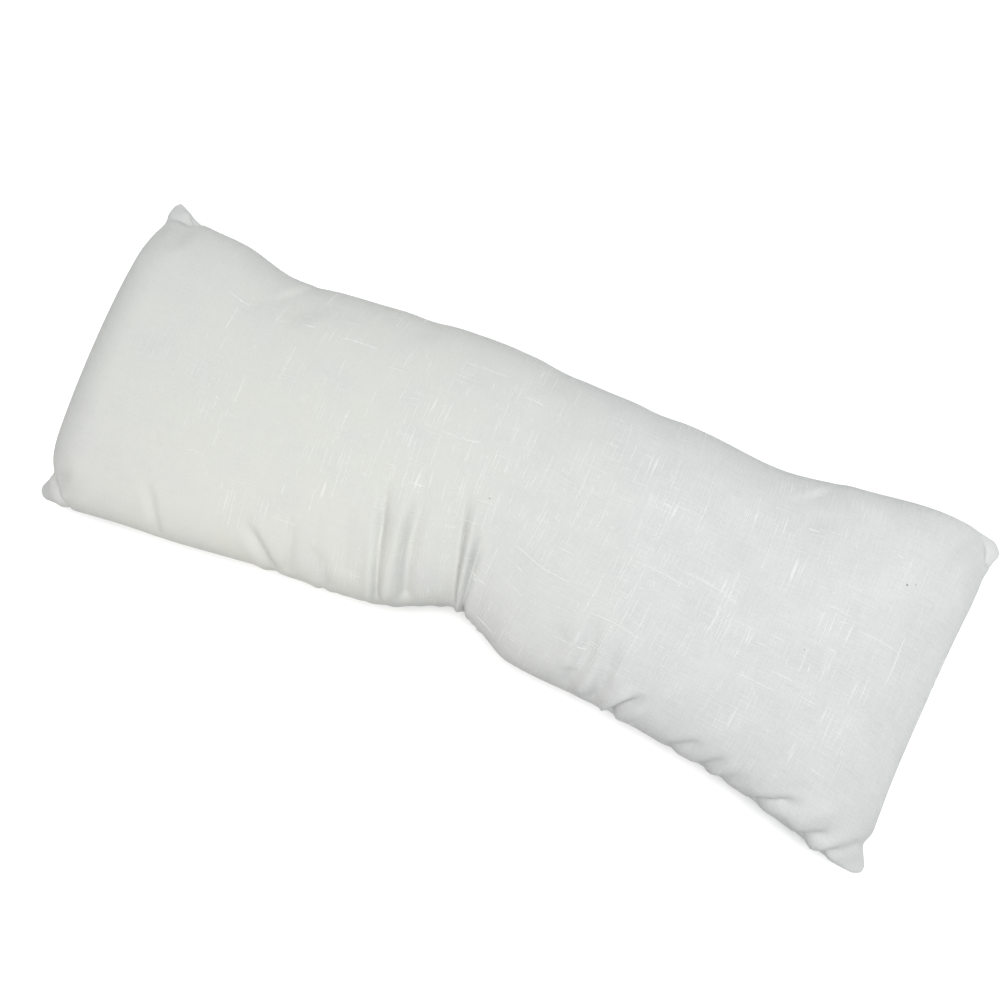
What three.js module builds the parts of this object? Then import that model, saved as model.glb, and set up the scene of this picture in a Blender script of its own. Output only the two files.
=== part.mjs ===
// Long lumbar throw pillow, lying on its back. A front and a back panel of slubbed linen are sewn
// together all round with a plain turned seam and filled, so the pillow is one crowned solid.
// Its four corners end in small empty ears, its sides are drawn in, and one long side is nipped.
// Millimetres, +Z up, X along the pillow, Y across it. The face looks up, and the back rests on z = 0.
import * as THREE from "three";

// Driving dimensions of the filled pillow
const TIP = 447; // from the middle to the corner tips, along the pillow
const SEAM_HEIGHT = 66; // the side seams above the surface that the pillow lies on
const HANG = 1.15; // the back panel would hang this many crowns below the seam, were nothing under it
const FULLNESS = 0.87; // below 1, the cross-section is fuller than an ellipse
const LEAN = 0.08; // draws the grid lines of a panel closer together at its seams

// Each end rounds off over a cap, which takes more cloth than its depth in plan. Its seam bows in
// between the corners, and lean moves the bow towards the back or the front. The left end is the
// blunt one.
const LEFT_CAP = { depth: 56, cloth: 90, bow: -6, lean: 0.6 };
const RIGHT_CAP = { depth: 106, cloth: 130, bow: 11, lean: -0.25 };
const BOW_FADE = 170; // how far from the end the bow dies out

// The seam hangs lower at the ends, and lower again at the corners
const SEAM_DROP = { ends: 12, corners: 12, cornerReach: 70 };

// An ear is the empty tip of a corner: within its reach, the two panels lie almost on each other. Its
// tip is drawn out of the corner and rounded, and the end seam is drawn in beside it as a neck.
const EAR_THICKNESS = 0.2;
const EAR_DRAW = 34; // how far from the corner the drawing out dies out
const NECK = { fromCorner: 28, length: 11, depth: 20 };
const EARS = [
  { end: -1, side: 1, outX: 9, outY: 8, radius: 22, reach: 36, neck: 1 },
  { end: -1, side: -1, outX: 9, outY: 3, radius: 12, reach: 26, neck: 5 },
  { end: 1, side: 1, outX: 4, outY: 3, radius: 11, reach: 34, neck: 0 },
  { end: 1, side: -1, outX: 3, outY: 1, radius: 14, reach: 36, neck: 5 },
];

// The nip draws the cloth of the front side together: pull is the most that a point moves along X
const NIP = { x: 6, pull: 26, near: 46, fade: 175 };

// The panels' outline and crown, a row for each cross-section: back and front are the side seams,
// and crown is the height of the face above them
const SECTIONS = [
  { x: -447, back: 167, front: -168, crown: 60 },
  { x: -430, back: 159, front: -169, crown: 63 },
  { x: -405, back: 154, front: -167, crown: 65 },
  { x: -350, back: 151, front: -159, crown: 67 },
  { x: -288, back: 139, front: -152, crown: 69 },
  { x: -200, back: 148, front: -139, crown: 72 },
  { x: -110, back: 157, front: -130, crown: 74 },
  { x: -62, back: 160, front: -120, crown: 74 },
  { x: -8, back: 158, front: -97, crown: 73 },
  { x: 28, back: 156, front: -108, crown: 73 },
  { x: 62, back: 156, front: -122, crown: 74 },
  { x: 150, back: 156, front: -125, crown: 74 },
  { x: 228, back: 152, front: -132, crown: 71 },
  { x: 300, back: 164, front: -141, crown: 65 },
  { x: 372, back: 175, front: -157, crown: 54 },
  { x: 422, back: 174, front: -169, crown: 46 },
  { x: 447, back: 165, front: -170, crown: 42 },
];

// The folds on the face, a row each, from the end that fades out to the end at the seam.
// A positive depth is a trough and a negative one a ridge.
const FACE_FOLDS = [
  // beside the nip in the front side
  { from: [-101, -18], to: [-70, -126], width: 8, depth: 6 },
  { from: [-86, -4], to: [-60, -112], width: 9, depth: -4 },
  { from: [-72, 4], to: [-44, -116], width: 8, depth: 5 },
  { from: [-40, 2], to: [-14, -104], width: 7, depth: 7 },
  { from: [-22, 14], to: [-6, -100], width: 8, depth: -5 },
  { from: [-8, -4], to: [6, -104], width: 8, depth: 13 },
  // to the right of the nip
  { from: [127, -58], to: [116, -124], width: 10, depth: 4 },
  { from: [150, -66], to: [136, -126], width: 9, depth: 3 },
  { from: [186, -46], to: [152, -128], width: 10, depth: -5 },
  { from: [198, -60], to: [164, -128], width: 10, depth: 7 },
  // puckers by the front right ear
  { from: [338, -100], to: [302, -142], width: 10, depth: 4 },
  { from: [372, -122], to: [336, -152], width: 9, depth: 5 },
  { from: [400, -124], to: [366, -160], width: 9, depth: 4 },
  // puckers of the front side, left of the nip
  { from: [-322, -96], to: [-290, -154], width: 8, depth: 4 },
  { from: [-284, -96], to: [-262, -148], width: 9, depth: 2.5 },
  { from: [-214, -100], to: [-174, -136], width: 8, depth: 4.5 },
  { from: [-180, -76], to: [-162, -132], width: 8, depth: 3 },
  // dents of the back side
  { from: [-236, 106], to: [-292, 142], width: 16, depth: 6 },
  { from: [-132, 124], to: [-142, 154], width: 14, depth: 2.5 },
  { from: [6, 128], to: [-2, 158], width: 14, depth: 2.5 },
  { from: [106, 128], to: [100, 157], width: 14, depth: 2.5 },
  { from: [276, 116], to: [250, 154], width: 18, depth: 5 },
  // tucks behind the ears
  { from: [-396, 116], to: [-428, 156], width: 9, depth: 4 },
  { from: [-398, -128], to: [-432, -160], width: 9, depth: 4 },
  { from: [392, 128], to: [428, 162], width: 9, depth: 3 },
];

// The folds on the back panel, which show between the seam and the surface it rests on
const BACK_FOLDS = [
  { from: [-64, -62], to: [-56, -120], width: 10, depth: 5 },
  { from: [-4, -44], to: [-2, -100], width: 10, depth: 9 },
  { from: [48, -60], to: [40, -114], width: 10, depth: 5 },
  { from: [-280, 92], to: [-290, 142], width: 16, depth: 5 },
  { from: [236, 96], to: [232, 154], width: 18, depth: 4 },
  { from: [214, -78], to: [204, -132], width: 12, depth: 4 },
  { from: [-190, -84], to: [-182, -138], width: 12, depth: 4 },
];
const FOLD_FADE = 0.55; // the share of its length over which a fold dies out at its inner end
const FOLD_END = { start: 1, stop: 1.3 }; // a fold ends past the seam, at these shares of its length
const SEAM_HOLD = 0.06; // a fold flattens out this near to the seam, as a share of a panel

// Grid lines across the pillow, closer together where the folds are narrow
const COLUMN_ZONES = [
  { to: -0.8, cells: 12 },
  { to: -0.25, cells: 20 },
  { to: 0.1, cells: 32 },
  { to: 0.5, cells: 18 },
  { to: 0.75, cells: 9 },
  { to: 1, cells: 11 },
];
const ROWS = 26;

const FLOOR_EASE = 3; // the back panel bends onto the surface over this height
const STEP = 0.002; // parameter step for measuring how a panel slopes

const clamp01 = (t) => Math.min(1, Math.max(0, t));
const smooth = (t) => clamp01(t) ** 2 * (3 - 2 * clamp01(t));
const bell = (distance, width) => Math.exp(-((distance / width) ** 2));

// A smooth curve through one column of the section table
function sectionValue(column, x) {
  const last = SECTIONS.length - 2;
  const next = SECTIONS.findIndex((row) => x < row.x);
  const i = next < 0 ? last : Math.max(0, next - 1);
  const [a, b] = [SECTIONS[i], SECTIONS[i + 1]];
  const before = SECTIONS[Math.max(0, i - 1)];
  const after = SECTIONS[Math.min(last + 1, i + 2)];
  const span = b.x - a.x;
  const slopeA = ((b[column] - before[column]) / (b.x - before.x)) * span;
  const slopeB = ((after[column] - a[column]) / (after.x - a.x)) * span;
  const t = clamp01((x - a.x) / span);
  return (
    a[column] * (1 + 2 * t) * (1 - t) ** 2 +
    slopeA * t * (1 - t) ** 2 +
    b[column] * t ** 2 * (3 - 2 * t) +
    slopeB * t ** 2 * (t - 1)
  );
}

// How far an ear's cloth moves outwards in plan, by its distances from the end and the side seam
function earShift(ear, fromEnd, fromSide) {
  const drawn = smooth(1 - Math.hypot(fromEnd, fromSide) / EAR_DRAW);
  const neck = bell(fromSide - NECK.fromCorner, NECK.length) * bell(fromEnd, NECK.depth);
  // the square corner within the radius becomes round
  const a = clamp01(1 - fromEnd / ear.radius);
  const b = clamp01(1 - fromSide / ear.radius);
  const roundedX = ear.radius * a * (1 - Math.sqrt(1 - (b * b) / 2));
  const roundedY = ear.radius * b * (1 - Math.sqrt(1 - (a * a) / 2));
  return [drawn * ear.outX - neck * ear.neck - roundedX, drawn * ear.outY - roundedY];
}

// One point of a panel before its folds. u runs along the cloth and v across it, both from -1 to 1.
function panelPoint(u, v, isFace) {
  const end = Math.sign(u) || 1;
  const cap = end < 0 ? LEFT_CAP : RIGHT_CAP;
  const clothFromEnd = (1 - Math.abs(u)) * (TIP - cap.depth + cap.cloth);
  const capTurn = (Math.PI / 2) * clamp01(clothFromEnd / cap.cloth);
  const inward =
    clothFromEnd < cap.cloth
      ? cap.depth * (1 - Math.cos(capTurn))
      : cap.depth + clothFromEnd - cap.cloth;

  // round the section from the front seam over the crown to the back seam
  const turn = (Math.PI / 2) * (v - LEAN * Math.sin(Math.PI * v));
  const across = Math.sin(turn);
  const round = Math.max(0, Math.cos(turn)) ** FULLNESS;

  // the cloth of the front half is drawn towards the nip
  const even = end * (TIP - inward);
  const toNip = even - NIP.x;
  const drawn = Math.tanh(toNip / NIP.near) * bell(toNip, NIP.fade);
  const station = even - NIP.pull * drawn * smooth((0.3 - v) / 1.3);

  const back = sectionValue("back", station);
  const front = sectionValue("front", station);
  const y = (back + front) / 2 + ((back - front) / 2) * across;
  const bowed = cap.bow * (1 + cap.lean * across) * (1 - Math.abs(across) ** 3);
  const x = station - end * bowed * smooth(1 - inward / BOW_FADE);

  const fromSide = (1 - Math.abs(across)) * ((back - front) / 2);
  const fromEnd = TIP - Math.abs(station);
  const side = Math.sign(v) || 1;
  const ear = EARS.find((row) => row.end === end && row.side === side);
  const [earX, earY] = earShift(ear, fromEnd, fromSide);

  const toCorner = Math.hypot(fromEnd, fromSide);
  const seam =
    SEAM_HEIGHT -
    SEAM_DROP.ends * Math.abs(station / TIP) ** 4 -
    SEAM_DROP.corners * smooth(1 - toCorner / SEAM_DROP.cornerReach);
  const filled = EAR_THICKNESS + (1 - EAR_THICKNESS) * smooth(toCorner / ear.reach);
  const swell = sectionValue("crown", station) * Math.sin(capTurn) * round * filled;
  const z = isFace ? seam + swell : seam - HANG * swell;
  return new THREE.Vector3(x + end * earX, y + side * earY, z);
}

// How deep the folds are at one place: each is a soft trough that dies out at its inner end
function foldDepth(folds, x, y) {
  let depth = 0;
  for (const fold of folds) {
    const [dx, dy] = [fold.to[0] - fold.from[0], fold.to[1] - fold.from[1]];
    const length = Math.hypot(dx, dy);
    const along = ((x - fold.from[0]) * dx + (y - fold.from[1]) * dy) / length ** 2;
    const aside = ((x - fold.from[0]) * dy - (y - fold.from[1]) * dx) / length;
    const ended = smooth((FOLD_END.stop - along) / (FOLD_END.stop - FOLD_END.start));
    depth += fold.depth * smooth(along / FOLD_FADE) * ended * bell(aside, fold.width);
  }
  return depth;
}

// A point of a panel with its folds pressed in along the panel's own normal
function foldedPoint(u, v, isFace) {
  const point = panelPoint(u, v, isFace);
  if (Math.abs(u) < 1 && Math.abs(v) < 1) {
    const alongU = panelPoint(u + STEP, v, isFace).sub(panelPoint(u - STEP, v, isFace));
    const alongV = panelPoint(u, v + STEP, isFace).sub(panelPoint(u, v - STEP, isFace));
    const inwards = alongV.cross(alongU).normalize().multiplyScalar(isFace ? 1 : -1);
    const free = smooth((1 - Math.abs(v)) / SEAM_HOLD) * smooth((1 - Math.abs(u)) / SEAM_HOLD);
    const folds = isFace ? FACE_FOLDS : BACK_FOLDS;
    point.addScaledVector(inwards, foldDepth(folds, point.x, point.y) * free);
  }
  // the part of the back panel that would hang lower lies flat
  if (point.z < -FLOOR_EASE) point.z = 0;
  else if (point.z < FLOOR_EASE) point.z = (point.z + FLOOR_EASE) ** 2 / (4 * FLOOR_EASE);
  return point;
}

// The parameter values of the grid lines across the pillow
function columnValues() {
  const values = [-1];
  for (const zone of COLUMN_ZONES) {
    const from = values[values.length - 1];
    for (let i = 1; i <= zone.cells; i++) values.push(from + ((zone.to - from) * i) / zone.cells);
  }
  return values;
}

// Both panels as one closed mesh, which share the points of the seam
function pillowGeometry() {
  const columns = columnValues();
  const lastColumn = columns.length - 1;
  const positions = [];
  const face = [];
  const back = [];
  for (let i = 0; i <= lastColumn; i++) {
    face.push([]);
    back.push([]);
    for (let j = 0; j <= ROWS; j++) {
      const v = -1 + (2 * j) / ROWS;
      const onSeam = i === 0 || i === lastColumn || j === 0 || j === ROWS;
      face[i][j] = positions.push(foldedPoint(columns[i], v, true)) - 1;
      back[i][j] = onSeam ? face[i][j] : positions.push(foldedPoint(columns[i], v, false)) - 1;
    }
  }
  const triangles = [];
  // the shorter diagonal of a cell follows the folds better
  const addCell = (a, b, c, d) => {
    const across = positions[a].distanceTo(positions[c]) <= positions[b].distanceTo(positions[d]);
    triangles.push(...(across ? [a, b, c, a, c, d] : [a, b, d, b, c, d]));
  };
  for (let i = 0; i < lastColumn; i++) {
    for (let j = 0; j < ROWS; j++) {
      addCell(face[i][j], face[i + 1][j], face[i + 1][j + 1], face[i][j + 1]);
      addCell(back[i][j], back[i][j + 1], back[i + 1][j + 1], back[i + 1][j]);
    }
  }
  const geometry = new THREE.BufferGeometry().setFromPoints(positions);
  geometry.setIndex(triangles);
  geometry.computeBoundingBox();
  const centre = geometry.boundingBox.getCenter(new THREE.Vector3());
  geometry.translate(-centre.x, -centre.y, -geometry.boundingBox.min.z);
  geometry.computeVertexNormals();
  return geometry;
}

const linen = new THREE.MeshStandardMaterial({ color: 0xe4e5e0, roughness: 0.92, metalness: 0 });
const cushion = new THREE.Mesh(pillowGeometry(), linen);
cushion.name = "cushion";

const pillow = new THREE.Group();
pillow.add(cushion);

export default pillow;
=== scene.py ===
# Long lumbar throw pillow of off-white slubbed linen, lying on its back. Its front and back panels are
# two surfaces on a grid, sewn together all round. Tables give their filled form and main creases, and a
# small cloth simulation adds the puckers of the spare cloth: its filling is a soft push back to the
# filled form. Metres, +Z up, X along the pillow, Y across it.
import math

import bpy
import numpy as np
from mathutils import Matrix, Vector


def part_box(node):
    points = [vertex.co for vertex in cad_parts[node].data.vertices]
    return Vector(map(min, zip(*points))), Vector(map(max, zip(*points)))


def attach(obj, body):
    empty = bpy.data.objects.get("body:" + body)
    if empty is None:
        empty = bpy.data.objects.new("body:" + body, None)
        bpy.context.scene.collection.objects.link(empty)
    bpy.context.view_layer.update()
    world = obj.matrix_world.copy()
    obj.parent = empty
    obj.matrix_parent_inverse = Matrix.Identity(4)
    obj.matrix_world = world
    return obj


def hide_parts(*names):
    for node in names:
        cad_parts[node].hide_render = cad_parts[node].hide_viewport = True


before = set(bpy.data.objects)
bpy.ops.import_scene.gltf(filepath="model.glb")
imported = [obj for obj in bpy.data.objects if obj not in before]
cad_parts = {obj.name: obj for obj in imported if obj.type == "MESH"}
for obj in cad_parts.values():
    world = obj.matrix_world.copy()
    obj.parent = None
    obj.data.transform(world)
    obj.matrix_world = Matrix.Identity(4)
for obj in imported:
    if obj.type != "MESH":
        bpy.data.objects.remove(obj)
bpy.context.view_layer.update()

# Driving dimensions of the filled pillow
CLOTH_LENGTH = 0.914  # each panel laid flat
CLOTH_WIDTH = 0.356
TIP = 0.447  # from the middle to the corner tips, along the pillow
SEAM_HEIGHT = 0.066  # the side seams above the surface that the pillow lies on
HANG = 1.15  # the back panel would hang this many crowns below the seam, were nothing under it
FULLNESS = 0.87  # below 1, the cross-section is fuller than an ellipse
FULLNESS_RISE = 0.12  # it is fuller at the front side and less full at the back
LEAN = 0.08  # draws the grid lines of a panel closer together at its seams
FLOOR_EASE = 0.003  # the back panel bends onto the surface over this height

# Each end rounds off over a cap, which takes more cloth than its depth in plan. Its seam bows in between
# the corners, and lean moves the bow towards the back or the front.
LEFT_CAP = {"depth": 0.056, "cloth": 0.090, "bow": -0.006, "lean": 0.6}
RIGHT_CAP = {"depth": 0.106, "cloth": 0.130, "bow": 0.011, "lean": -0.25}
BOW_FADE = 0.170

# The seam hangs lower at the ends, and lower again at the corners
SEAM_DROP = {"ends": 0.012, "corners": 0.012, "corner_reach": 0.070}

# An ear is the empty tip of a corner: this near to it, the two panels lie almost on each other. Its tip
# is drawn out of the corner and rounded, and the end seam is drawn in beside it as a neck.
EAR_THICKNESS = 0.2
EAR_DRAW = 0.034
NO_EAR = 0.001  # stands for the radius and the reach on the middle lines, where there is no ear
NECK = {"from_corner": 0.028, "length": 0.011, "depth": 0.020}
EAR_COLUMNS = ("end", "side", "out_x", "out_y", "radius", "reach", "neck")
EARS = [
    (-1, 1, 0.009, 0.008, 0.025, 0.036, 0.001),
    (-1, -1, 0.009, 0.003, 0.012, 0.026, 0.005),
    (1, 1, 0.004, 0.003, 0.011, 0.034, 0.0),
    (1, -1, 0.003, 0.001, 0.014, 0.042, 0.003),
]

# The nip draws the cloth of the front side together: pull is the most that a point moves along X, and
# nothing moves from back on, as a share of a panel from the middle line
NIP = {"x": 0.006, "pull": 0.026, "near": 0.046, "fade": 0.175, "back": 0.3}

# The panels' outline and crown, a row for each cross-section
SECTION_COLUMNS = ("x", "back", "front", "crown")
SECTIONS = [
    (-0.447, 0.167, -0.168, 0.060),
    (-0.430, 0.159, -0.169, 0.063),
    (-0.405, 0.154, -0.167, 0.065),
    (-0.350, 0.151, -0.159, 0.067),
    (-0.288, 0.139, -0.152, 0.069),
    (-0.200, 0.148, -0.139, 0.072),
    (-0.110, 0.157, -0.130, 0.074),
    (-0.062, 0.160, -0.120, 0.074),
    (-0.008, 0.158, -0.097, 0.073),
    (0.028, 0.156, -0.108, 0.073),
    (0.062, 0.156, -0.122, 0.074),
    (0.150, 0.156, -0.125, 0.074),
    (0.228, 0.152, -0.132, 0.071),
    (0.300, 0.164, -0.141, 0.065),
    (0.372, 0.175, -0.157, 0.054),
    (0.422, 0.174, -0.169, 0.046),
    (0.447, 0.165, -0.170, 0.042),
]

# The creases of a panel in millimetres, a row each: three points of its curve, from the end that dies
# out to the seam, its half-width, and its depth. A positive depth is a trough, a negative one a ridge.
MILLIMETRE = 0.001
CREASE_COLUMNS = ("x1", "y1", "x2", "y2", "x3", "y3", "width", "depth")
FACE_CREASES = [
    # beside the nip in the front side
    (-107, 4, -90, -59, -74, -124, 4.5, 4.5),
    (-97, -46, -88, -86, -82, -126, 7, -2.5),
    (-86, 8, -75, -52, -64, -122, 9, -4.5),
    (-68, 0, -61, -56, -48, -110, 6, 4.5),
    (-54, 4, -43, -49, -28, -108, 9, -1.5),
    (-34, 20, -20, -34, -3, -100, 5, 3.5),
    (-17, 24, -10, -34, 3, -102, 8, -4.5),
    (-3, -16, 1, -55, 5, -104, 4, 5.5),
    (-129, -36, -121, -68, -110, -110, 8, 1.5),
    # to the right of the nip
    (104, -28, 112, -66, 117, -104, 10, -2),
    (119, -44, 127, -80, 118, -122, 8, 3.5),
    (125, -34, 138, -77, 132, -122, 8, -2.5),
    (142, -54, 149, -86, 148, -124, 7, 3),
    (156, -36, 156, -65, 160, -105, 7, -1.5),
    (184, -88, 170, -106, 158, -126, 5, -2.5),
    (192, -94, 179, -110, 164, -130, 5, 7),
    (190, -56, 189, -77, 182, -104, 8, 1.5),
    # puckers by the front right ear
    (256, -110, 244, -120, 228, -132, 5, 3.5),
    (280, -112, 272, -127, 258, -142, 5, 4),
    (300, -122, 292, -132, 280, -144, 5, 2),
    (362, -122, 341, -134, 316, -146, 5, 5),
    (356, -102, 349, -115, 336, -134, 7, 1.5),
    (396, -114, 376, -130, 358, -152, 8, -2.5),
    (402, -138, 385, -149, 370, -160, 5, 4),
    (418, -138, 402, -149, 386, -166, 6, -2),
    (414, -150, 406, -158, 398, -165, 5, 2.5),
    # puckers of the front side, left of the nip
    (-326, -96, -310, -124, -299, -152, 5, 2.5),
    (-220, -96, -201, -113, -176, -136, 5.5, 4),
    (-178, -74, -169, -99, -166, -132, 6, 2.5),
    (-146, -92, -136, -108, -122, -128, 7, 2),
    # dents of the back side
    (-236, 92, -256, 108, -278, 122, 18, 3.5),
    (-132, 120, -137, 138, -142, 162, 16, 1.5),
    (6, 124, 2, 142, -2, 166, 16, 1.5),
    (106, 124, 103, 142, 100, 165, 16, 1.5),
    (280, 100, 268, 120, 254, 138, 20, 3.5),
    # tucks behind the ears
    (-450, 142, -434, 151, -404, 152, 4, 3.5),
    (-396, 112, -412, 138, -432, 158, 9, 3),
    (-398, -124, -415, -144, -436, -162, 9, 3),
    (-434, -128, -426, -154, -402, -165, 4, 4.5),
    (416, 170, 435, 165, 441, 144, 4, 4),
    (390, 122, 410, 146, 432, 166, 9, 3),
    (408, -151, 417, -152, 432, -138, 5, 1.5),
]
BACK_CREASES = [
    (-64, -62, -60, -90, -56, -130, 10, 5),
    (-4, -44, -3, -70, -2, -108, 10, 9),
    (48, -60, 44, -86, 40, -124, 10, 5),
    (-280, 92, -285, 116, -290, 148, 16, 5),
    (236, 96, 234, 124, 232, 160, 18, 4),
    (214, -78, 209, -104, 204, -138, 12, 4),
    (-190, -84, -186, -110, -182, -144, 12, 4),
]
CREASE_FADE = {"inner": 0.5, "outer": 0.1}  # the shares of its length over which a crease dies out
# Cloth pressed out of a crease rises beside it, by a share of its depth, and its lips close over it. How
# far off and how wide that is goes by the crease's half-width.
FLANK = {"share": 0.22, "off": 2.0, "width": 1.1}
PINCH = {"share": 0.35, "width": 1.2}
CREASE_ROOM = 4.0  # a crease moves nothing beyond this many half-widths
CURVE_STEPS = 14
SEAM_HOLD = 0.035  # a crease flattens out this near to the seam, as a share of a panel

# The fine grid of each panel. Its lines lie closer together at the ends, at the pleats and at the long
# seams, by an extra weight that comes in over a share of the panel.
COLUMNS, ROWS = 357, 135
CLOSER = {
    "ends": {"weight": 2.2, "from": 0.955, "over": 0.035},
    "pleats": {"weight": 0.9, "middle": -0.1, "half": 0.26, "over": 0.08},
    "long seams": {"weight": 2.0, "from": 0.88, "over": 0.08},
}
SPREAD_STEPS = 4001  # for finding the places of the grid lines

# The cloth simulation: momentum, filling and bending are shares for each step, start is how far chance
# moves the cloth first, and most is its furthest move
SETTLING = {
    "steps": 220,
    "momentum": 0.8,
    "filling": 0.006,
    "bending": 0.014,
    "start": 0.00012,
    "most": 0.006,
}
# The cover has spare cloth along its seams, which has to buckle: these shares of its length, dying out
# over a reach
SPARE = {
    "front seam": 0.035,
    "back seam": 0.015,
    "end seams": 0.045,
    "reach": 0.030,
    "nip": 0.025,
    "nip reach": 0.070,
}
# It is uneven, as it is beside a sewn seam: mean + swing × a wave that bends as it goes
UNEVEN_ALONG = {"mean": 0.65, "swing": 0.35, "waves": 41, "bend": 2.0, "bends": 17, "slow waves": 9}
UNEVEN_ACROSS = {"mean": 0.7, "swing": 0.3, "waves": 23, "bend": 1.5, "bends": 11}
TINY = 1e-12  # keeps a length that is divided by above 0

# The turned seam lies in a shallow groove between the two panels
SEAM_GROOVE = {"depth": 0.0013, "width": 0.0022}

# Thick places in the yarn stand out of the weave. Those that catch the eye in the photograph have their
# place on the face in millimetres and their length, and chance adds thinner ones around them.
SLUB_COLUMNS = ("x", "y", "length")
SLUBS_ACROSS = [
    (-310, 72, 32),
    (-285, -10, 18),
    (-268, 14, 40),
    (-238, 57, 37),
    (-164, 19, 36),
    (-161, -57, 28),
    (-148, -23, 58),
    (-104, 3, 50),
    (-26, 36, 36),
    (5, 72, 34),
    (40, 5, 58),
    (46, 73, 36),
    (61, -18, 26),
    (90, 44, 52),
    (110, -28, 48),
    (128, 12, 50),
    (143, 48, 27),
    (159, -68, 56),
    (160, -28, 33),
    (185, 49, 17),
    (219, 15, 64),
    (225, 7, 36),
    (245, -14, 40),
]
SLUBS_ALONG = [
    (-314, 93, 30),
    (-238, 93, 16),
    (-185, 99, 43),
    (-57, 52, 40),
    (-9, 113, 26),
    (59, -27, 75),
    (159, 11, 62),
    (267, 104, 15),
    (271, -41, 42),
    (274, 1, 19),
    (317, 69, 20),
]
CHANCE_SLUBS = {
    "across": 230,
    "along": 50,
    "on_back": 60,
    "middle_u": 0.14,
    "middle_v": -0.02,
    "spread_u": 0.38,
    "spread_v": 0.42,
    "most_u": 0.95,
    "most_v": 0.9,
    "length": 0.023,
    "shortest": 0.006,
    "longest": 0.060,
    "thinnest": 0.45,
    "thickest": 0.95,
}
SLUB_YARN = {"width": 0.00062, "height": 0.00040, "sunk": 0.00030, "rings": 11, "wander": 0.0004}
SLUB_TURNS = (0.4, 1.2)  # the fewest and the most times that a slub wanders from side to side
SLUB_LUMPS = {"swing": 0.25, "least": 0.5, "most": 1.5, "at_ends": 0.05}
SLUB_ENDS = {"u": 0.985, "v": 0.97}  # a slub stops short of the seams
# Its section is an arch, from one foot over the top to the other foot: across it and up
ARCH = ((-1.0, 0.0), (-0.55, 0.8), (0.0, 1.0), (0.55, 0.8), (1.0, 0.0))
SLUB_CLOTH = {"girth": 0.001, "apart": 0.1}  # on the UV map, each slub has a strip of its own

# Dark flecks of flax in the face, in millimetres
FLECK_COLUMNS = ("x", "y", "radius")
FLECKS = [(-9, 13, 1.0), (298, 1, 0.7), (366, 94, 1.1), (372, 97, 0.6)]
# Small ones by chance: how many to a metre each way, their edge and their core as shares of the space
# between them, and how dark they are
CHANCE_FLECKS = {"to_a_metre": 7.0, "edge": 0.004, "core": 0.002, "dark": 0.4}

# Cloth colours, as linear light
LINEN = {"shade": (0.462, 0.468, 0.465, 1), "light": (0.582, 0.589, 0.587, 1)}
# the linen painted warmer: a painted warm light
LINEN_IN_PAINTED_WARM_LIGHT = (0.549, 0.555, 0.522, 1)
# the slubs are paler: partly the thick yarn's own tone, partly a painted highlight
SLUB_TONE_AND_HIGHLIGHT = {"shade": (0.57, 0.58, 0.565, 1), "light": (0.70, 0.71, 0.695, 1)}
FLAX = (0.16, 0.13, 0.10, 1)
# Around one place on the cloth it is painted a little warmer, a painted warm light, and around another it
# has more thick yarns
PAINTED_WARM_LIGHT_PLACE = {"place": (-0.20, -0.04, 0.0), "inner": 0.05, "outer": 0.42}
SLUBBED = {"place": (0.07, 0.0, 0.0), "inner": 0.15, "outer": 0.50}

# What varies in the cloth is cloudy noise, drawn out to a size along it and across it. A mark shows
# where the noise is above from, and is full at to.
YARNS_ACROSS = {"size": (0.0013, 0.028), "detail": 1.0}
YARNS_ALONG = {"size": (0.028, 0.0013), "detail": 1.0}
FIBRES = {"size": (0.0022, 0.0022), "detail": 1.0}
CLOUDS = {"size": (0.040, 0.034), "detail": 2.0}
SLUB_MARKS_ACROSS = {"size": (0.0013, 0.036), "detail": 0.0, "from": 0.67, "to": 0.80}
SLUB_MARKS_ALONG = {"size": (0.030, 0.0013), "detail": 0.0, "from": 0.76, "to": 0.86}
SLUB_CLUSTERS = {"size": (0.060, 0.050), "detail": 1.0, "from": 0.40, "to": 0.70}
# painted warm light, in cloudy patches
PAINTED_WARM_LIGHT_PATCHES = {"size": (0.040, 0.034), "detail": 1.0, "from": -0.35, "to": 0.75}
SLUB_FIBRES = {"size": (0.004, 0.0003), "detail": 2.0}
NOISE_ROUGHNESS = 0.5

# How much each has to do with the linen's tone and colour, and with its relief in millimetres
TONE = {"shift": -0.22, "yarns": 0.42, "fibres": 0.45, "clouds": 0.45}
COVER = {"slub marks": 0.6, "flecks": 0.8}
RELIEF = {"weave": 0.10, "top yarns": 0.3, "yarns": 0.22, "slub marks": 0.20, "slub fibres": 0.15}
BUMP_STRENGTH = 0.8
YARN_PITCH = 0.0007
MATT_CLOTH = {
    "Roughness": 0.92,
    "Specular IOR Level": 0.15,
    "Sheen Weight": 0.03,
    "Sheen Roughness": 0.6,
}

# The photograph's view
VIEW = {
    "yaw": math.radians(6.18),
    "pitch": math.radians(-2.05),
    "roll": math.radians(23.73),
    "distance": 0.978,
    "target": (-0.0056, 0.0151, 0.066),
    "lens": 36,
    "sensor": 36,
}

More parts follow.
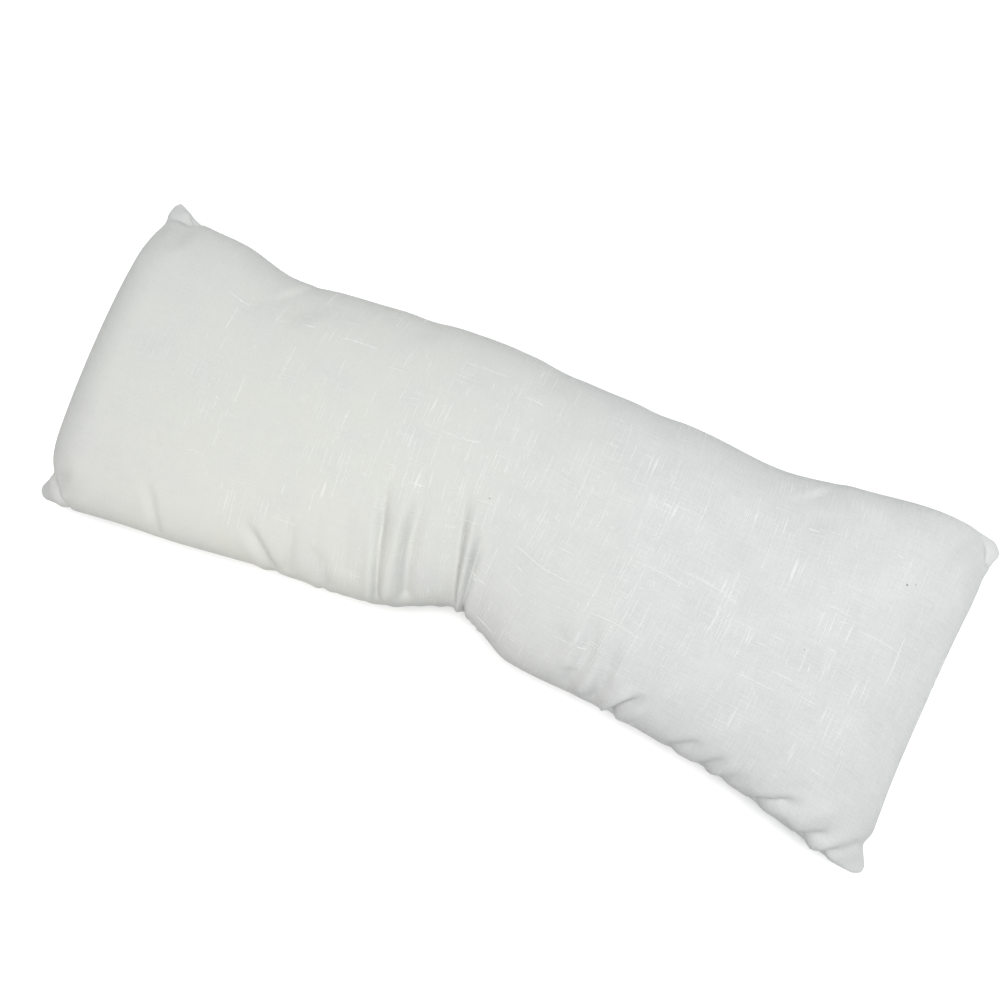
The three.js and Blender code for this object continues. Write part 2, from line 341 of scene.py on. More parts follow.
# Soft studio light: one broad even light over the pillow, and smaller ones near it
BROAD_LIGHT = {
    "from": (0.05, 0.10, 1.0),
    "angle": math.radians(32),
    "strength": 3.05,
    "colour": (1.0, 1.0, 1.0),
}
NEAR_LIGHTS = {
    "middle": {"place": (0.10, 0.10, 1.7), "size": 0.8, "power": 8.0, "colour": (1.0, 1.0, 1.0)},
    "left": {"place": (-0.25, -0.42, 0.33), "size": 0.25, "power": 0.37, "colour": (1.0, 0.94, 0.83)},
    "right": {"place": (0.95, 0.10, 0.65), "size": 0.4, "power": 1.25, "colour": (0.97, 0.99, 1.0)},
}
SKY = {"strength": 0.06, "colour": (0.80, 0.92, 1.0, 1)}
FLOOR_COLOUR = (0.95, 0.95, 0.95, 1)
FLOOR_SIZE = 8.0
FLOOR_GAP = 0.0006

FACE, BACK = 1, -1
SEED = 14


def smooth(t):
    """0 below 0, 1 above 1, and 3t² - 2t³ between them."""
    t = np.clip(t, 0.0, 1.0)
    return t * t * (3 - 2 * t)


def bell(distance, width):
    """1 at no distance, dying out over width: exp(-(distance / width)²)."""
    return np.exp(-((distance / width) ** 2))


def section(column, x):
    """A cubic curve through one column of SECTIONS. Its slope at a row is the slope from the row before
    to the row after."""
    rows = np.array(SECTIONS)
    place = rows[:, 0]
    value = rows[:, SECTION_COLUMNS.index(column)]
    last = len(rows) - 2
    i = np.clip(np.searchsorted(place, x, side="right") - 1, 0, last)
    span = place[i + 1] - place[i]
    before, after = np.maximum(i - 1, 0), np.minimum(i + 2, last + 1)
    slope_a = (value[i + 1] - value[before]) / (place[i + 1] - place[before]) * span
    slope_b = (value[after] - value[i]) / (place[after] - place[i]) * span
    t = np.clip((x - place[i]) / span, 0.0, 1.0)
    return (
        value[i] * (1 + 2 * t) * (1 - t) ** 2
        + slope_a * t * (1 - t) ** 2
        + value[i + 1] * t**2 * (3 - 2 * t)
        + slope_b * t**2 * (t - 1)
    )


def of_end(u, key):
    """The left or the right cap's dimension, by the sign of u."""
    return np.where(u < 0, LEFT_CAP[key], RIGHT_CAP[key])


def of_ear(u, v, key):
    """The dimension of the ear in the point's own quarter of the panel."""
    value = np.zeros(np.shape(u))
    for row in EARS:
        ear = dict(zip(EAR_COLUMNS, row))
        value = np.where((u * ear["end"] > 0) & (v * ear["side"] > 0), ear[key], value)
    return value


def ear_shift(u, v, from_end, from_side):
    """How far an ear's cloth moves in plan. The tip is drawn out of its corner, dying out over EAR_DRAW,
    and the neck draws the end seam in. The square corner within the ear's radius becomes round: a and b
    are 1 on the two edges and 0 at the radius, and become a√(1 - b²/2) and b√(1 - a²/2)."""
    end, side = np.where(u < 0, -1.0, 1.0), np.where(v < 0, -1.0, 1.0)
    drawn = smooth(1 - np.hypot(from_end, from_side) / EAR_DRAW)
    neck = bell(from_side - NECK["from_corner"], NECK["length"]) * bell(from_end, NECK["depth"])
    radius = np.maximum(of_ear(u, v, "radius"), NO_EAR)
    a, b = np.clip(1 - from_end / radius, 0, 1), np.clip(1 - from_side / radius, 0, 1)
    x = drawn * of_ear(u, v, "out_x") - neck * of_ear(u, v, "neck")
    x -= radius * a * (1 - np.sqrt(1 - b * b / 2))
    y = drawn * of_ear(u, v, "out_y") - radius * b * (1 - np.sqrt(1 - a * a / 2))
    return end * x, side * y


def panel(u, v, side):
    """Points of a panel before its folds, for arrays u along the cloth and v across it, from -1 to 1.
    Along: x is even spacing, and over each cap depth × (1 - cos turn), while the swell is sin turn.
    Across: y goes from the front seam to the back seam as sin(turn), and the swell is cos(turn) to the
    power of a fullness that rises from front to back.
    z is the seam's height plus or minus crown × both swells, which flatten out towards the ears."""
    end = np.where(u < 0, -1.0, 1.0)
    depth, cloth = of_end(u, "depth"), of_end(u, "cloth")
    cloth_from_end = (1 - np.abs(u)) * (TIP - depth + cloth)
    cap_turn = np.pi / 2 * np.clip(cloth_from_end / cloth, 0, 1)
    on_cap, past_cap = depth * (1 - np.cos(cap_turn)), depth + cloth_from_end - cloth
    inward = np.where(cloth_from_end < cloth, on_cap, past_cap)

    turn = np.pi / 2 * (v - LEAN * np.sin(np.pi * v))
    across = np.sin(turn)
    swell_across = np.maximum(0.0, np.cos(turn)) ** (FULLNESS + FULLNESS_RISE * v)

    even = end * (TIP - inward)
    to_nip = even - NIP["x"]
    drawn = np.tanh(to_nip / NIP["near"]) * bell(to_nip, NIP["fade"])
    station = even - NIP["pull"] * drawn * smooth((NIP["back"] - v) / (1 + NIP["back"]))

    back, front = section("back", station), section("front", station)
    y = (back + front) / 2 + (back - front) / 2 * across
    bow = of_end(u, "bow") * (1 + of_end(u, "lean") * across) * (1 - np.abs(across) ** 3)
    bow *= smooth(1 - inward / BOW_FADE)
    x = station - end * bow

    from_side = (1 - np.abs(across)) * (back - front) / 2
    from_end = TIP - np.abs(station)
    ear_x, ear_y = ear_shift(u, v, from_end, from_side)
    to_corner = np.hypot(from_end, from_side)
    seam = (
        SEAM_HEIGHT
        - SEAM_DROP["ends"] * np.abs(station / TIP) ** 4
        - SEAM_DROP["corners"] * smooth(1 - to_corner / SEAM_DROP["corner_reach"])
    )
    ear_reach = np.maximum(of_ear(u, v, "reach"), NO_EAR)
    filled = EAR_THICKNESS + (1 - EAR_THICKNESS) * smooth(to_corner / ear_reach)
    swell = section("crown", station) * np.sin(cap_turn) * swell_across * filled
    z = seam + (swell if side == FACE else -HANG * swell)
    return np.stack([x + ear_x, y + ear_y, z], axis=-1)


def normals(points, side):
    """Unit normals of a surface on a grid, from the differences between neighbouring points."""
    along = np.gradient(points, axis=0)
    across = np.gradient(points, axis=1)
    normal = np.cross(along, across) * side
    return normal / np.maximum(np.linalg.norm(normal, axis=-1, keepdims=True), TINY)


def crease_curve(start, middle, end):
    """The parabola through three points, as a row of points: at t = 0, ½ and 1 it is at each of them."""
    t = np.linspace(0, 1, CURVE_STEPS)[:, None]
    return start * (1 - t) * (1 - 2 * t) + middle * 4 * t * (1 - t) + end * t * (2 * t - 1)


def nearest_on_curve(plan, curve):
    """For every point: how far along the curve its nearest place is, from 0 to 1, and the way to it."""
    start, step = curve[:-1], np.diff(curve, axis=0)
    share = np.clip(((plan[:, None] - start) * step).sum(-1) / (step**2).sum(-1), 0, 1)
    away = plan[:, None] - start - share[..., None] * step
    nearest = (away**2).sum(-1).argmin(axis=1)
    every = np.arange(len(plan))
    return (nearest + share[every, nearest]) / len(step), away[every, nearest]


def press_creases(points, creases, side, share):
    """Each crease moves the cloth in along its normal by depth × bell(distance), and out beside it by a
    share of that, and draws its lips together in plan. share says how far each point may move."""
    outward = normals(points, side)
    moved = np.zeros_like(points)
    for row in creases:
        crease = dict(zip(CREASE_COLUMNS, np.array(row) * MILLIMETRE))
        curve = crease_curve(*(np.array([crease["x" + n], crease["y" + n]]) for n in "123"))
        width, depth = crease["width"], crease["depth"]
        room = CREASE_ROOM * width
        near = (
            (points[..., 0] > curve[:, 0].min() - room)
            & (points[..., 0] < curve[:, 0].max() + room)
            & (points[..., 1] > curve[:, 1].min() - room)
            & (points[..., 1] < curve[:, 1].max() + room)
        )
        along, away = nearest_on_curve(points[near][:, :2], curve)
        distance = np.linalg.norm(away, axis=-1)
        lasting = smooth(along / CREASE_FADE["inner"]) * smooth((1 - along) / CREASE_FADE["outer"])
        lasting *= share[near]
        profile = bell(distance, width)
        profile -= FLANK["share"] * bell(distance - FLANK["off"] * width, FLANK["width"] * width)
        moved[near] -= outward[near] * (depth * lasting * profile)[:, None]
        closing = PINCH["share"] * abs(depth) / width * lasting * bell(distance, PINCH["width"] * width)
        moved[near, :2] -= away * closing[:, None]
    return points + moved


def seam_share(u, v):
    """0 on the seam and 1 away from it, where the creases may move the cloth."""
    return smooth((1 - np.abs(v)) / SEAM_HOLD) * smooth((1 - np.abs(u)) / SEAM_HOLD)


def rest_on_surface(points):
    """The part of the back panel that would hang lower lies flat, at z = 0. Within FLOOR_EASE of the
    surface it bends softly: z is (z + ease)² / (4 × ease)."""
    z = points[..., 2]
    eased = (z + FLOOR_EASE) ** 2 / (4 * FLOOR_EASE)
    points[..., 2] = np.where(z < -FLOOR_EASE, 0.0, np.where(z < FLOOR_EASE, eased, z))
    return points


def creased_panel(u, v, side):
    """A panel with its main creases, lying on the surface."""
    creases = FACE_CREASES if side == FACE else BACK_CREASES
    points = press_creases(panel(u, v, side), creases, side, seam_share(u, v))
    return rest_on_surface(points)


def cloth_from_seams(u, v):
    """How much cloth lies between a point and the end seam, and between it and the long seam."""
    from_end = (1 - np.abs(u)) * (TIP - of_end(u, "depth") + of_end(u, "cloth"))
    return from_end, (1 - np.abs(v)) * CLOTH_WIDTH / 2


def spare_cloth(u, v, x):
    """How much longer the cloth is than the filled form, along it and across it: share × bell(cloth from
    the seam) × uneven, and more beside the nip. The uneven wave is sin(waves × u + bend × sin(bends × u))
    × sin(slow waves × u + v) along the cloth, and sin(waves × v + bend × sin(bends × v + u)) across it."""
    from_end, from_side = cloth_from_seams(u, v)
    row = UNEVEN_ALONG
    bent = row["bend"] * np.sin(row["bends"] * u)
    wave = np.sin(row["waves"] * u + bent) * np.sin(row["slow waves"] * u + v)
    along = np.where(v < 0, SPARE["front seam"], SPARE["back seam"])
    along = along * bell(from_side, SPARE["reach"]) * (row["mean"] + row["swing"] * wave)
    gathered = bell(x - NIP["x"], SPARE["nip reach"]) * smooth(-v)
    along += SPARE["nip"] * gathered * bell(from_side, 2 * SPARE["reach"])
    row = UNEVEN_ACROSS
    bent = row["bend"] * np.sin(row["bends"] * v + u)
    wave = np.sin(row["waves"] * v + bent)
    across = SPARE["end seams"] * bell(from_end, SPARE["reach"]) * (row["mean"] + row["swing"] * wave)
    return along, across


def keep_lengths(points, rest, axis):
    """Each thread of the cloth keeps its length: the two ends of every step along the axis move by half
    of what it is too long or too short. Every other step moves at a time."""
    line = np.moveaxis(points, axis, 0)
    wanted = np.moveaxis(rest, axis, 0)
    for first in (0, 1):
        start, end = line[first:-1:2], line[first + 1 :: 2]
        step = end - start
        length = np.linalg.norm(step, axis=-1)
        change = step * ((1 - wanted[first::2] / np.maximum(length, TINY)) / 2)[..., None]
        start += change
        end -= change


def second_difference(values):
    """The sum of the four neighbours less four times each point, 0 on the border."""
    result = np.zeros_like(values)
    along = values[2:, 1:-1] + values[:-2, 1:-1]
    result[1:-1, 1:-1] = along + values[1:-1, 2:] + values[1:-1, :-2] - 4 * values[1:-1, 1:-1]
    return result


def settle(filled, u, v, side):
    """The cloth simulation. The seam stays where it is. In every step the cloth keeps some of its
    motion, the filling pushes it back to the filled form, it resists bending, and its threads keep
    their length, so the spare cloth buckles into puckers. No point ends further off than most, by
    most × tanh(far / most)."""
    chance = np.random.default_rng(SEED + side)
    spare_along, spare_across = spare_cloth(u, v, filled[..., 0])
    length_along = np.linalg.norm(np.diff(filled, axis=0), axis=-1) * (1 + spare_along[1:])
    length_across = np.linalg.norm(np.diff(filled, axis=1), axis=-1) * (1 + spare_across[:, 1:])
    outward = normals(filled, side)
    held = np.ones(u.shape)
    held[[0, -1], :] = 0
    held[:, [0, -1]] = 0
    moved = outward * (chance.normal(0, SETTLING["start"], u.shape) * held)[..., None]
    earlier = moved.copy()
    for _ in range(SETTLING["steps"]):
        moved, earlier = moved + SETTLING["momentum"] * (moved - earlier), moved
        lift = (moved * outward).sum(axis=-1, keepdims=True)
        moved = moved - SETTLING["filling"] * lift * outward
        moved = moved - SETTLING["bending"] * second_difference(second_difference(moved))
        points = filled + moved * held[..., None]
        keep_lengths(points, length_along, 0)
        keep_lengths(points, length_across, 1)
        moved = (points - filled) * held[..., None]
    far = np.linalg.norm(moved, axis=-1, keepdims=True)
    capped = SETTLING["most"] * np.tanh(far / SETTLING["most"])
    points = filled + moved * capped / np.maximum(far, TINY)
    points[..., 2] = np.maximum(points[..., 2], 0.0)
    return points


def groove_seam(points, u, v):
    """The seam and the cloth beside it lie further in by depth × bell(cloth from the seam)."""
    from_end, from_side = cloth_from_seams(u, v)
    points = points.copy()
    points[..., 0] -= np.sign(u) * SEAM_GROOVE["depth"] * bell(from_end, SEAM_GROOVE["width"])
    points[..., 1] -= np.sign(v) * SEAM_GROOVE["depth"] * bell(from_side, SEAM_GROOVE["width"])
    return points


def spread(count, weight):
    """count values from -1 to 1, closer together where weight(value) is larger."""
    fine = np.linspace(-1, 1, SPREAD_STEPS)
    total = np.cumsum(weight(fine))
    total = (total - total[0]) / (total[-1] - total[0])
    return np.interp(np.linspace(0, 1, count), total, fine)


def closer(past, row):
    """The extra weight of a grid line this far past a place: weight × smooth(past / over)."""
    return row["weight"] * smooth(past / row["over"])


def pillow_grid():
    """The grid's values u along the cloth and v across it, closer together at the seams and the nip."""
    ends, pleats, long_seams = CLOSER["ends"], CLOSER["pleats"], CLOSER["long seams"]

    def weight_along(u):
        into_pleats = pleats["half"] - np.abs(u - pleats["middle"])
        return 1 + closer(np.abs(u) - ends["from"], ends) + closer(into_pleats, pleats)

    def weight_across(v):
        return 1 + closer(np.abs(v) - long_seams["from"], long_seams)

    return np.meshgrid(spread(COLUMNS, weight_along), spread(ROWS, weight_across), indexing="ij")


def cells(grid):
    """The four corners of every cell of a grid, counter-clockwise, a row for each cell."""
    corners = (grid[:-1, :-1], grid[1:, :-1], grid[1:, 1:], grid[:-1, 1:])
    return np.stack(corners, axis=2).reshape(-1, 4, *grid.shape[2:])


def closed_mesh(name, face, back, face_uv, back_uv):
    """One closed mesh of two panels on the same grid, which share the points of the seam. The UV map is
    the flat cloth in metres, and the seam is a sharp edge."""
    columns, rows = face.shape[:2]
    face_id = np.arange(columns * rows).reshape(columns, rows)
    back_id = face_id.copy()
    back_id[1:-1, 1:-1] = face_id.size + np.arange((columns - 2) * (rows - 2)).reshape(columns - 2, -1)
    points = np.concatenate([face.reshape(-1, 3), back[1:-1, 1:-1].reshape(-1, 3)])
    quads = np.concatenate([cells(face_id), cells(back_id)[:, ::-1]])
    mesh = bpy.data.meshes.new(name)
    mesh.from_pydata(points, [], quads)
    mesh.shade_smooth()

    layer = mesh.uv_layers.new(name="cloth")
    corners = np.concatenate([cells(face_uv), cells(back_uv)[:, ::-1]])
    layer.data.foreach_set("uv", corners.ravel())

    on_seam = np.zeros(len(points), bool)
    on_seam[face_id[[0, -1], :]] = True
    on_seam[face_id[:, [0, -1]]] = True
    edges = np.empty(len(mesh.edges) * 2, int)
    mesh.edges.foreach_get("vertices", edges)
    sharp = mesh.attributes.new("sharp_edge", "BOOLEAN", "EDGE")
    sharp.data.foreach_set("value", on_seam[edges.reshape(-1, 2)].all(axis=1))
    return mesh


def add_piece(name, mesh, material):
    """A finished piece, which moves with the whole object and takes the linen's finish."""
    mesh.materials.append(material)
    piece = bpy.data.objects.new(name, mesh)
    bpy.context.scene.collection.objects.link(piece)
    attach(piece, "root")
    return piece


def on_grid(values, columns, rows, column, row):
    """The values of a grid at any places of it, each a straight blend of its four neighbours."""
    i = np.clip(np.searchsorted(columns, column) - 1, 0, len(columns) - 2)
    j = np.clip(np.searchsorted(rows, row) - 1, 0, len(rows) - 2)
    s = ((column - columns[i]) / (columns[i + 1] - columns[i]))[..., None]
    t = ((row - rows[j]) / (rows[j + 1] - rows[j]))[..., None]
    low = values[i, j] * (1 - s) + values[i + 1, j] * s
    high = values[i, j + 1] * (1 - s) + values[i + 1, j + 1] * s
    return low * (1 - t) + high * t


def place_on_cloth(face, u, v, mark):
    """The values u and v of the face's point that is nearest to a mark's x and y in plan."""
    off = np.hypot(face[..., 0] - mark["x"], face[..., 1] - mark["y"])
    nearest = np.unravel_index(off.argmin(), off.shape)
    return u[nearest], v[nearest]


def placed_slubs(face, u, v):
    """The slubs of the two tables: the place of each on the cloth, its length, its direction and its
    thickness, which is the full one."""
    rows = []
    for table, goes_across in ((SLUBS_ACROSS, True), (SLUBS_ALONG, False)):
        for row in table:
            slub = dict(zip(SLUB_COLUMNS, np.array(row) * MILLIMETRE))
            rows.append((*place_on_cloth(face, u, v, slub), slub["length"], goes_across, 1.0))
    return rows


def chance_slubs(count, goes_across, chance):
    """Slubs by chance, closer together around the middle of the face and thinner than the others."""
    row = CHANCE_SLUBS
    place_u = np.clip(chance.normal(row["middle_u"], row["spread_u"], count), -row["most_u"], row["most_u"])
    place_v = np.clip(chance.normal(row["middle_v"], row["spread_v"], count), -row["most_v"], row["most_v"])
    length = np.clip(chance.exponential(row["length"], count), row["shortest"], row["longest"])
    thickness = chance.uniform(row["thinnest"], row["thickest"], count)
    return list(zip(place_u, place_v, length, [goes_across] * count, thickness))


def tube_cells(grid):
    """The four corners of every cell of each tube's grid, in the order that cells gives them."""
    corners = (grid[:, :-1, :-1], grid[:, 1:, :-1], grid[:, 1:, 1:], grid[:, :-1, 1:])
    return np.stack(corners, axis=3)


def tube_ends(grid):
    """The corners of each tube's first face and, the other way round, of each tube's last face."""
    return np.concatenate([grid[:, 0, :-1], grid[:, -1, -2::-1]])


def slub_mesh(name, slubs, points, u, v, side, chance):
    """Raised slub yarns on a panel. Each follows the weave and wanders from it by wander × sin(2π ×
    turns × share of its length). Its section is a low arch half sunk in the cloth, which swells by the
    square root of sin(π × share)."""
    place_u, place_v, length, goes_across, thickness = (np.array(part)[:, None] for part in zip(*slubs))
    count, rings = len(slubs), SLUB_YARN["rings"]
    share = np.linspace(0, 1, rings)
    run = (share - 0.5) * length
    bend = SLUB_YARN["wander"] * np.sin(2 * np.pi * (share * chance.uniform(*SLUB_TURNS, (count, 1))))
    along, across = np.where(goes_across, bend, run), np.where(goes_across, run, bend)
    yarn_u = np.clip(place_u + along * 2 / CLOTH_LENGTH, -SLUB_ENDS["u"], SLUB_ENDS["u"])
    yarn_v = np.clip(place_v + across * 2 / CLOTH_WIDTH, -SLUB_ENDS["v"], SLUB_ENDS["v"])
    path = on_grid(points, u[:, 0], v[0], yarn_u, yarn_v)
    lift = on_grid(normals(points, side), u[:, 0], v[0], yarn_u, yarn_v)
    aside = np.cross(np.gradient(path, axis=1), lift)
    aside /= np.linalg.norm(aside, axis=-1, keepdims=True)

    lumps = 1 + SLUB_LUMPS["swing"] * chance.normal(0, 1, (count, rings))
    lumps = np.clip(lumps, SLUB_LUMPS["least"], SLUB_LUMPS["most"])
    swell = np.sqrt(np.sin(np.pi * share)) * lumps * thickness
    swell = np.maximum(swell, SLUB_LUMPS["at_ends"])[..., None]
    feet = path - SLUB_YARN["sunk"] * lift
    width, height = SLUB_YARN["width"], SLUB_YARN["height"] + SLUB_YARN["sunk"]
    skin = np.stack([feet + swell * (width * w * aside + height * h * lift) for w, h in ARCH], axis=2)

    corners = len(ARCH)
    ids = np.arange(count * rings * corners).reshape(count, rings, corners)
    ids = np.concatenate([ids, ids[..., :1]], axis=2)
    mesh = bpy.data.meshes.new(name)
    sides, ends = tube_cells(ids).reshape(-1, 4), tube_ends(ids)
    mesh.from_pydata(skin.reshape(-1, 3), [], [*sides.tolist(), *ends.tolist()])
    mesh.shade_smooth()

    girth = np.broadcast_to(np.linspace(0, SLUB_CLOTH["girth"], corners + 1), ids.shape)
    onward = np.broadcast_to((run + length / 2)[..., None], ids.shape)
    strip = np.arange(count)[:, None, None] * SLUB_CLOTH["apart"]
    flat = np.stack([onward + strip, girth], axis=-1)
    layer = mesh.uv_layers.new(name="cloth")
    flat_corners = [tube_cells(flat).reshape(-1, 2), tube_ends(flat).reshape(-1, 2)]
    layer.data.foreach_set("uv", np.concatenate(flat_corners).ravel())
    return mesh


def add_node(tree, kind, *values, output=0, **settings):
    """A shader node with its settings and its inputs in order. An input is a value, another node's
    output, or None to leave it as it is."""
    node = tree.nodes.new(kind)
    for name, value in settings.items():
        setattr(node, name, value)
    for socket, value in zip(node.inputs, values):
        if isinstance(value, bpy.types.NodeSocket):
            tree.links.new(value, socket)
        elif value is not None:
            socket.default_value = value
    return node.outputs[output]


def calculate(tree, operation, *values):
    """One step of arithmetic on the values."""
    return add_node(tree, "ShaderNodeMath", *values, operation=operation)


def ramp(tree, value, start, stop):
    """0 where the value is at start or before it, 1 at stop or past it, and smooth between them."""
    between = (start, stop, 0.0, 1.0)
    return add_node(tree, "ShaderNodeMapRange", value, *between, interpolation_type="SMOOTHSTEP")


def mix_colours(tree, share, first, second):
    """The first colour where the share is 0, and the second where it is 1."""
    unused = (None,) * 5
    return add_node(tree, "ShaderNodeMix", share, *unused, first, second, output=2, data_type="RGBA")


def around(tree, cloth, area):
    """1 within the area's inner distance from its place on the cloth, and 0 beyond the outer one."""
    place = area["place"]
    distance = add_node(tree, "ShaderNodeVectorMath", cloth, place, operation="DISTANCE", output=1)
    return ramp(tree, distance, area["outer"], area["inner"])


def streaks(tree, cloth, noise):
    """Cloudy noise on the flat cloth, drawn out to a size along it and across it in metres."""
    along, across = noise["size"]
    stretch = (1 / along, 1 / across, 0.0)
    scaled = add_node(tree, "ShaderNodeVectorMath", cloth, stretch, operation="MULTIPLY")
    look = (1.0, noise["detail"], NOISE_ROUGHNESS)
    return add_node(tree, "ShaderNodeTexNoise", scaled, None, *look, noise_dimensions="2D")


def marks(tree, cloth, noise):
    """0 where the noise is below from, and 1 where it is above to."""
    return ramp(tree, streaks(tree, cloth, noise), noise["from"], noise["to"])


def weave_height(tree, cloth):
    """A plain weave: sin(π × along / pitch) × sin(π × across / pitch), whose sign says which yarn is on
    top. The height is its size, and top yarns × itself more."""
    half_turns = (math.pi / YARN_PITCH,) * 3
    turns = add_node(tree, "ShaderNodeVectorMath", cloth, half_turns, operation="MULTIPLY")
    parts = tree.nodes.new("ShaderNodeSeparateXYZ")
    tree.links.new(turns, parts.inputs[0])
    along, across = parts.outputs[:2]
    weave = calculate(tree, "MULTIPLY", calculate(tree, "SINE", along), calculate(tree, "SINE", across))
    size = calculate(tree, "ABSOLUTE", weave)
    return calculate(tree, "MULTIPLY_ADD", weave, RELIEF["top yarns"], size)


def fleck_mask(tree, cloth, face, u, v):
    """1 on the flecks that have a place, and less on small ones by chance."""
    scattered = CHANCE_FLECKS
    spots = add_node(
        tree, "ShaderNodeTexVoronoi", cloth, None, scattered["to_a_metre"], voronoi_dimensions="2D"
    )
    spots = ramp(tree, spots, scattered["edge"], scattered["core"])
    mask = calculate(tree, "MULTIPLY", spots, scattered["dark"])
    for row in FLECKS:
        fleck = dict(zip(FLECK_COLUMNS, np.array(row) * MILLIMETRE))
        place_u, place_v = place_on_cloth(face, u, v, fleck)
        place = (place_u * CLOTH_LENGTH / 2, place_v * CLOTH_WIDTH / 2, 0.0)
        spot = around(tree, cloth, {"place": place, "outer": fleck["radius"], "inner": fleck["radius"] / 2})
        mask = calculate(tree, "MAXIMUM", mask, spot)
    return mask


def cloth_material(name):
    """A new material, its node tree, and the place on the flat cloth."""
    material = bpy.data.materials.new(name)
    material.use_nodes = True
    tree = material.node_tree
    return material, tree, add_node(tree, "ShaderNodeUVMap", uv_map="cloth")


def linen_material(face, u, v):
    """Off-white linen. Its yarns vary in tone and thickness both ways, and slubs run in each. The tone
    adds up its parts as TONE says, and the relief as RELIEF says."""
    material, tree, cloth = cloth_material("slubbed linen")
    yarns = calculate(tree, "ADD", streaks(tree, cloth, YARNS_ACROSS), streaks(tree, cloth, YARNS_ALONG))
    slubs_across, slubs_along = marks(tree, cloth, SLUB_MARKS_ACROSS), marks(tree, cloth, SLUB_MARKS_ALONG)
    clusters = calculate(tree, "MULTIPLY", marks(tree, cloth, SLUB_CLUSTERS), around(tree, cloth, SLUBBED))
    slubs = calculate(tree, "MULTIPLY", calculate(tree, "MAXIMUM", slubs_across, slubs_along), clusters)

    tone = calculate(tree, "MULTIPLY_ADD", yarns, TONE["yarns"], TONE["shift"])
    tone = calculate(tree, "MULTIPLY_ADD", streaks(tree, cloth, FIBRES), TONE["fibres"], tone)
    tone = calculate(tree, "MULTIPLY_ADD", streaks(tree, cloth, CLOUDS), TONE["clouds"], tone)
    colour = mix_colours(tree, tone, LINEN["shade"], LINEN["light"])
    # painted warm light: around one place the linen is painted warmer, in cloudy patches
    painted_warm_light = calculate(tree, "MULTIPLY", around(tree, cloth, PAINTED_WARM_LIGHT_PLACE), marks(tree, cloth, PAINTED_WARM_LIGHT_PATCHES))
    colour = mix_colours(tree, painted_warm_light, colour, LINEN_IN_PAINTED_WARM_LIGHT)
    # the slub marks are painted paler: partly the yarn's own tone, partly a painted highlight
    cover = calculate(tree, "MULTIPLY", slubs, COVER["slub marks"])
    colour = mix_colours(tree, cover, colour, SLUB_TONE_AND_HIGHLIGHT["light"])
    cover = calculate(tree, "MULTIPLY", fleck_mask(tree, cloth, face, u, v), COVER["flecks"])
    colour = mix_colours(tree, cover, colour, FLAX)

    height = calculate(tree, "MULTIPLY", weave_height(tree, cloth), RELIEF["weave"])
    height = calculate(tree, "MULTIPLY_ADD", yarns, RELIEF["yarns"], height)
    height = calculate(tree, "MULTIPLY_ADD", slubs, RELIEF["slub marks"], height)
    finish_cloth(tree, colour, height)
    return material


def finish_cloth(tree, colour, height):
    """Matt cloth with a faint sheen of loose fibres: its colour, and its relief in millimetres."""
    shader = tree.nodes["Principled BSDF"]
    for name, value in MATT_CLOTH.items():
        shader.inputs[name].default_value = value
    bump = tree.nodes.new("ShaderNodeBump")
    bump.inputs["Distance"].default_value = MILLIMETRE
    bump.inputs["Strength"].default_value = BUMP_STRENGTH
    tree.links.new(height, bump.inputs["Height"])
    tree.links.new(bump.outputs["Normal"], shader.inputs["Normal"])
    tree.links.new(colour, shader.inputs["Base Color"])


def slub_material():
    """The slub yarns: the same linen, paler, partly for the thick yarn's own tone and partly a painted
    highlight where it catches the light.
    """
    material, tree, cloth = cloth_material("slub yarn")
    fibres = streaks(tree, cloth, SLUB_FIBRES)
    colour = mix_colours(tree, fibres, SLUB_TONE_AND_HIGHLIGHT["shade"], SLUB_TONE_AND_HIGHLIGHT["light"])
    finish_cloth(tree, colour, calculate(tree, "MULTIPLY", fibres, RELIEF["slub fibres"]))
    return material


def add_floor():
    """A plain pale floor, just under the pillow."""
    half = FLOOR_SIZE / 2
    corners = [(-half, -half), (half, -half), (half, half), (-half, half)]
    mesh = bpy.data.meshes.new("floor")
    mesh.from_pydata([(x, y, -FLOOR_GAP) for x, y in corners], [], [(0, 1, 2, 3)])
    material = bpy.data.materials.new("pale floor")
    material.use_nodes = True
    shader = material.node_tree.nodes["Principled BSDF"]
    shader.inputs["Base Color"].default_value = FLOOR_COLOUR
    shader.inputs["Roughness"].default_value = 1.0
    shader.inputs["Specular IOR Level"].default_value = 0.0
    mesh.materials.append(material)
    floor = bpy.data.objects.new("floor", mesh)
    bpy.context.scene.collection.objects.link(floor)


def add_lamp(light, place, power, colour):
    """A light at a place, pointed at the pillow."""
    light.energy = power
    light.color = colour
    lamp = bpy.data.objects.new(light.name, light)
    lamp.location = place
    lamp.rotation_euler = (-Vector(place)).to_track_quat("-Z", "Y").to_euler()
    bpy.context.scene.collection.objects.link(lamp)


def add_lights():
    """An even pale sky, a broad light like a large window, and soft round lights nearer the pillow."""
    world = bpy.data.worlds.new("studio")
    world.use_nodes = True
    background = world.node_tree.nodes["Background"]
    background.inputs["Strength"].default_value = SKY["strength"]
    background.inputs["Color"].default_value = SKY["colour"]
    bpy.context.scene.world = world
    broad = bpy.data.lights.new("broad light", "SUN")
    broad.angle = BROAD_LIGHT["angle"]
    add_lamp(broad, BROAD_LIGHT["from"], BROAD_LIGHT["strength"], BROAD_LIGHT["colour"])
    for name, row in NEAR_LIGHTS.items():
        near = bpy.data.lights.new(name, "AREA")
        near.shape = "DISK"
        near.size = row["size"]
        add_lamp(near, row["place"], row["power"], row["colour"])


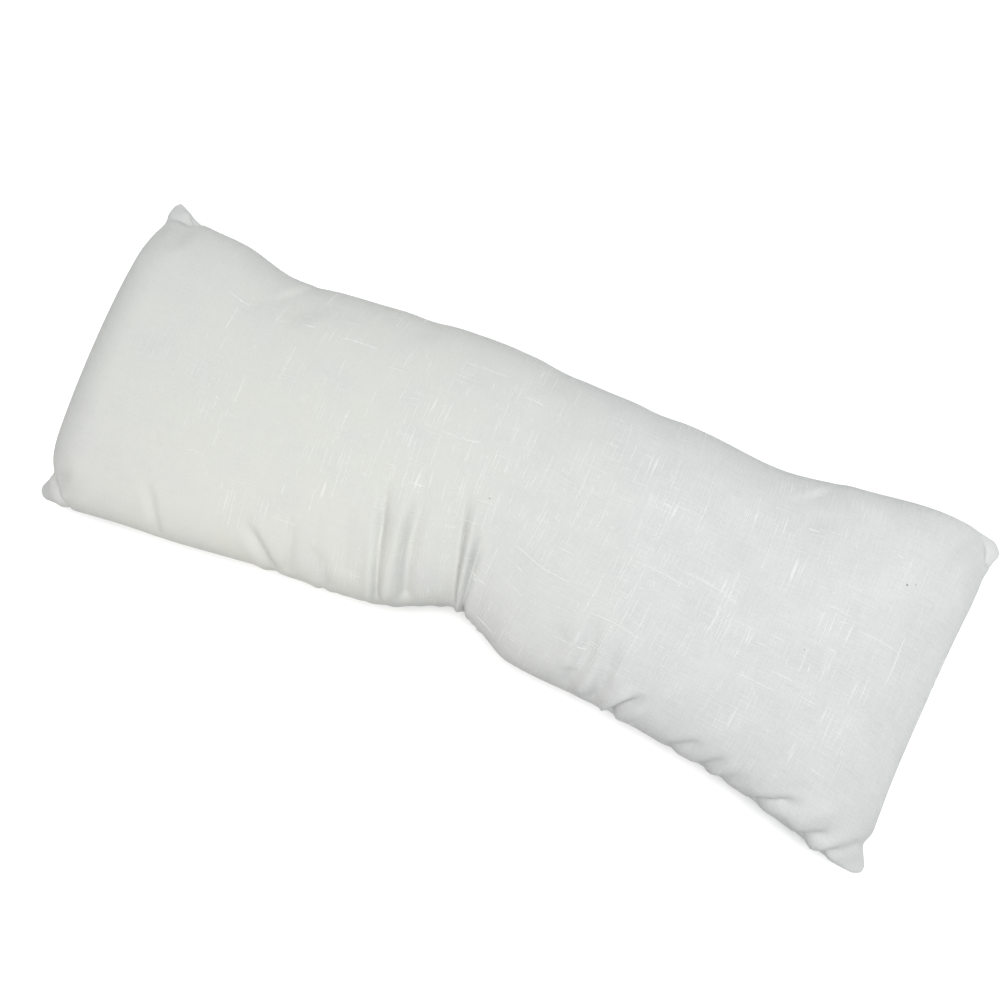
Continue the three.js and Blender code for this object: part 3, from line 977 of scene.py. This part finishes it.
def aim_camera():
    """The camera looks at a target from a distance, turned off the vertical and rolled."""
    out = np.array([math.sin(VIEW["yaw"]), math.sin(VIEW["pitch"]), 0.0])
    out[2] = math.sqrt(1 - out @ out)
    level = np.array([1.0, 0.0, 0.0]) - out * out[0]
    level /= np.linalg.norm(level)
    rising = np.cross(out, level)
    cosine, sine = math.cos(VIEW["roll"]), math.sin(VIEW["roll"])
    right, up = cosine * level + sine * rising, cosine * rising - sine * level
    eye = np.array(VIEW["target"]) + VIEW["distance"] * out
    lens = bpy.data.cameras.new("camera")
    lens.sensor_width = VIEW["sensor"]
    lens.lens = VIEW["lens"]
    camera = bpy.data.objects.new("camera", lens)
    camera.matrix_world = Matrix([*np.column_stack([right, up, out, eye]).tolist(), (0, 0, 0, 1)])
    bpy.context.scene.collection.objects.link(camera)
    bpy.context.scene.camera = camera


def make_pillow():
    """The pillow's two panels sewn into one piece, and the slub yarns on them."""
    u, v = pillow_grid()
    face, back = creased_panel(u, v, FACE), creased_panel(u, v, BACK)
    face, back = settle(face, u, v, FACE), settle(back, u, v, BACK)
    face, back = groove_seam(face, u, v), groove_seam(back, u, v)
    linen = linen_material(face, u, v)
    on_face = placed_slubs(face, u, v)

    # the middle of the pillow's outline is the origin
    both = np.concatenate([face.reshape(-1, 3), back.reshape(-1, 3)])
    low, high = (np.array(corner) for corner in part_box("cushion"))
    centring = (low + high - both.min(axis=0) - both.max(axis=0)) / 2 * (1, 1, 0)  # in plan only
    face, back = face + centring, back + centring

    flat = np.stack([u * CLOTH_LENGTH / 2, v * CLOTH_WIDTH / 2], axis=-1)
    mesh = closed_mesh("pillow", face, back, flat, flat + np.array([0.0, CLOTH_WIDTH]))
    pillow = add_piece("pillow", mesh, linen)
    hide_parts("cushion")

    chance = np.random.default_rng(SEED)
    on_face += chance_slubs(CHANCE_SLUBS["across"], True, chance)
    on_face += chance_slubs(CHANCE_SLUBS["along"], False, chance)
    on_back = chance_slubs(CHANCE_SLUBS["on_back"], True, chance)
    yarn = slub_material()
    add_piece("face_slubs", slub_mesh("face_slubs", on_face, face, u, v, FACE, chance), yarn)
    add_piece("back_slubs", slub_mesh("back_slubs", on_back, back, u, v, BACK, chance), yarn)


make_pillow()
add_floor()
add_lights()
aim_camera()
bpy.context.scene.view_settings.view_transform = "Standard"
